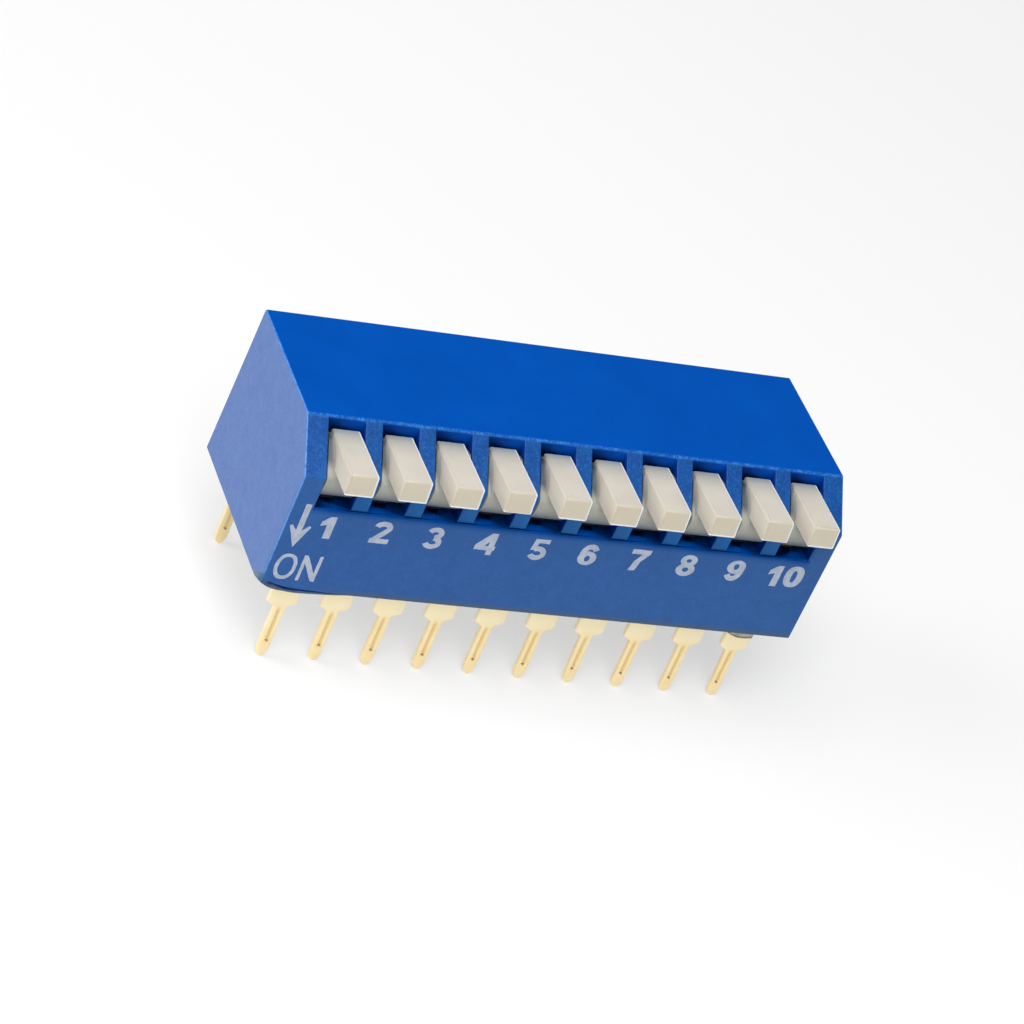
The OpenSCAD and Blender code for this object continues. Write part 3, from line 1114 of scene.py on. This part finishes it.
def build_key(i):
    x = key_x(i)
    mid = x + KEY_SHIFT[i - 1]
    dip = math.radians(KEY_DIP[i - 1])
    obj = build_lever(i, mid, dip)
    bm = bmesh.new()
    hub(bm, x, mid - KEY_W / 2, dip)
    join(obj, bm)
    shade(obj)
    add_stubs_and_tail(obj, x)
    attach(obj, f"key_body_{i}")
    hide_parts(f"key_{i}")


for i in range(1, COUNT + 1):
    build_key(i)


# ---------------------------------------------------------------- terminals
# pin under its shoulder, and half widths of stem, shoulder and pad
PIN_L = 3.2
STEM, SHOULDER, PAD = 0.28, 0.705, 0.6
HALF_T = SHEET / 2
# length of the front pad behind its pin
PAD_L = 1.2
# y and z of the middle of the hook for the blade's rolled end, and its outer and inner radius
HOOK, HOOK_OUT, HOOK_IN = (2.6, 3.53), 0.48, 0.23
# how far each front tip stands off to the right
TIP_LEAN = (0.0, 0.03, 0.02, 0.05, 0.06, 0.09, 0.11, 0.08, 0.08, 0.12)


def half_width(z, right, drop, taper):
    """Half width of the stamped terminal at height z, on its right or left.

    drop lowers the shoulder, and taper is the length of the pointed end.
    """
    if z < taper - PIN_L:
        t = (z + PIN_L) / taper
        return STEM * max(0.02, math.sin(math.pi / 2 * min(1, t)) ** 0.58)
    foot = -0.19 if right else -0.25
    z += drop
    if z < foot:
        return STEM
    if z < 0.0:
        return STEM + (SHOULDER - STEM) * ((z - foot) / -foot) ** 0.9
    if z < BASE_TOP - 0.02:
        return SHOULDER
    return PAD


def groove(z):
    """Depth of the V groove on the outer face, which ends in a dimple."""
    top, end, dimple = -0.28, -2.14, 0.3
    if z > top or z < end - dimple:
        return 0.0
    if z < end:
        return 0.07 * math.sin(math.pi * (end - z) / dimple) ** 2
    return 0.04 * smooth((top - z) / 0.25) * smooth((z - end) / 0.06)


def stations():
    """Heights of the terminal's sections, closer together where its form changes."""
    zs = [-3.2, -3.195, -3.18, -3.15, -3.1, -3.04, -2.97, -2.88, -2.78, -2.7, -2.6, -2.5, -2.42]
    zs += [-2.38 + 0.03 * k for k in range(9)] + [-2.12, -2.08, -2.0]
    zs += [-1.85 + 0.2 * k for k in range(8)] + [-0.36, -0.27, -0.23, -0.19]
    zs += [-0.19 + 0.22 * k / 5 for k in range(1, 6)] + [0.07, 0.3, 1.2, 2.2]
    return zs + [BASE_TOP - 0.03, BASE_TOP - 0.01, BASE_TOP + SHEET]


def terminal_section(left, right, thick, depth):
    """Section from left to right along the outer face, with its groove, and back along the inner one."""
    r = min(0.045, left * 0.5)
    bit = 0.3 * r
    half = min(0.085, left * 0.35)
    slope_x, slope_y = half * 0.45, thick - depth * 0.55
    pts = [(-left, thick - r), (-left + bit, thick - bit), (-left + r, thick), (-half, thick)]
    pts += [(-slope_x, slope_y), (0, thick - depth), (slope_x, slope_y)]
    pts += [(half, thick), (right - r, thick), (right - bit, thick - bit), (right, thick - r)]
    pts += [(right, -thick + r), (right - bit, -thick + bit), (right - r, -thick), (0, -thick)]
    return pts + [(-left + r, -thick), (-left + bit, -thick + bit), (-left, -thick + r)]


def loft_terminal(bm, x, y, side, lean, drop, taper):
    """side -1 is the front row; the groove is on the outer face."""
    rings = []
    for z in stations():
        left = half_width(z, False, drop, taper)
        right = half_width(z, True, drop, taper)
        thick = HALF_T * (0.7 + 0.3 * smooth((z + PIN_L) / 0.2))
        section = terminal_section(left, right, thick, groove(z))
        drift = x + lean * smooth(-z / PIN_L) - lean * 0.3
        rings.append([place(bm, drift + px, y + side * py, z) for px, py in section])
    skin(bm, rings, flip=side > 0)


def build_terminal(i, side):
    """Pin and shoulder, with the pad of a front terminal or the hook of a rear one."""
    x, y = key_x(i), side * ROW
    z0, z1 = BASE_TOP, BASE_TOP + SHEET
    bm = bmesh.new()
    if side < 0:
        loft_terminal(bm, x, y, side, TIP_LEAN[i - 1], 0.04 + 0.008 * i, 0.62 - 0.025 * i)
        end = y + HALF_T + PAD_L
        top = [(y, z0), (end, z0), (end, z1), (y, z1)]
        name, node = f"pin_front_{i}", f"terminal_front_{i}"
    else:
        loft_terminal(bm, x, y, side, 0.0, 0.05, 0.5)
        turns = [math.pi * (1 + k / 32) for k in range(17)]
        top = around(*HOOK, HOOK_OUT, turns) + [(y, z0), (y, z1)]
        top += around(*HOOK, HOOK_IN, turns[::-1])
        name, node = f"pin_rear_{i}", f"terminal_rear_{i}"
    prism(bm, top, x - PAD, x + PAD)
    obj = new_object(name, bm, [GOLD])
    for p in obj.data.polygons:
        p.use_smooth = True
    obj.data.set_sharp_from_angle(angle=math.radians(32))
    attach(obj, "switch_body")
    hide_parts(node)


for i in range(1, COUNT + 1):
    build_terminal(i, -1)
    build_terminal(i, 1)


def build_film():
    """Resin that crept down over the shoulder of the last front terminal."""
    across, down = 24, 8
    middle, half, top = key_x(COUNT) - 0.03, 0.69, 1.45
    face = -ROW - HALF_T
    bm = bmesh.new()
    rows = []
    for k in range(across + 1):
        u = -1 + 2 * k / across
        x = middle + half * u
        foot = 0.44 + 0.26 * max(0.0, -u - 0.05) ** 1.3 + 0.10 * max(0.0, u - 0.5)
        column = []
        for j in range(down + 1):
            t = j / down
            swell = math.sqrt(max(0.0, 1 - (1 - 2 * min(t * 2.2, 0.5)) ** 2))
            bulge = 0.012 + 0.028 * swell * (1 - u ** 4)
            column.append(place(bm, x, face - bulge, foot + (top - foot) * t))
        column += [place(bm, x, face + 0.015, z) for z in (top, foot)]
        rows.append(column)
    sides = skin(bm, rows)
    # the lowest faces of each column
    for f in sides[::len(rows[0])]:
        f.material_index = 1
    bmesh.ops.recalc_face_normals(bm, faces=bm.faces[:])
    obj = new_object("resin_film", bm, [FILM, FILM_EDGE])
    shade(obj)
    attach(obj, "switch_body")


build_film()


# ---------------------------------------------------------------- stage, m
# name, place, diameter and power of each light
LIGHTS = (
    ("soft_key", (-0.126, -0.198, 0.27), 0.22, 0.76),
    ("soft_left", (-0.30, 0.035, 0.175), 0.22, 0.53),
    ("soft_over", (-0.07, -0.035, 0.35), 0.26, 0.56),
)
LIT_POINT = Vector((0, 0, 0.005))
CAMERA_AT = (-0.079378, -0.125169, 0.0989)
CAMERA_RIGHT = Vector((0.888211, -0.288695, 0.357402))
CAMERA_UP = Vector((-0.097136, 0.642329, 0.760249))
CAMERA_LENS = 137.366
# half side of the floor, and its height, a hair under the pin tips
FLOOR_HALF, FLOOR_Z = 1.2, -3.21 * MM


def add_floor():
    bm = bmesh.new()
    bmesh.ops.create_grid(bm, x_segments=1, y_segments=1, size=FLOOR_HALF)
    n = Nodes("floor_pale")
    n.set(Base_Color=n.mix(n.noise(0.01), (0.40, 0.40, 0.40), (0.42, 0.42, 0.42)))
    n.set(Roughness=0.9, Specular_IOR_Level=0.0)
    n.set(Emission_Color=(1.0, 1.0, 1.0), Emission_Strength=0.58)
    floor = new_object("floor", bm, [n.mat])
    floor.location = (0, 0, FLOOR_Z)


def add_world():
    world = bpy.data.worlds.new("studio")
    world.use_nodes = True
    background = world.node_tree.nodes["Background"]
    background.inputs["Color"].default_value = (1, 1, 1, 1)
    background.inputs["Strength"].default_value = 0.07
    bpy.context.scene.world = world
    bpy.context.scene.view_settings.view_transform = "Standard"


def add_light(name, loc, size, energy):
    """Round lamp that faces the part."""
    light = bpy.data.lights.new(name, "AREA")
    light.shape = "DISK"
    light.size = size
    light.energy = energy
    obj = bpy.data.objects.new(name, light)
    obj.location = loc
    obj.rotation_mode = "QUATERNION"
    obj.rotation_quaternion = (LIT_POINT - Vector(loc)).to_track_quat("-Z", "Y")
    bpy.context.scene.collection.objects.link(obj)


def add_camera():
    """Camera where the photo was taken from."""
    cam = bpy.data.cameras.new("camera")
    cam.lens = CAMERA_LENS
    cam.sensor_width = 36
    cam.clip_start = 0.01
    cam.clip_end = 5
    obj = bpy.data.objects.new("camera", cam)
    obj.location = CAMERA_AT
    axes = Matrix((CAMERA_RIGHT, CAMERA_UP, CAMERA_RIGHT.cross(CAMERA_UP)))
    obj.rotation_mode = "QUATERNION"
    obj.rotation_quaternion = axes.transposed().to_quaternion()
    bpy.context.scene.collection.objects.link(obj)
    bpy.context.scene.camera = obj


add_floor()
add_world()
for light in LIGHTS:
    add_light(*light)
add_camera()
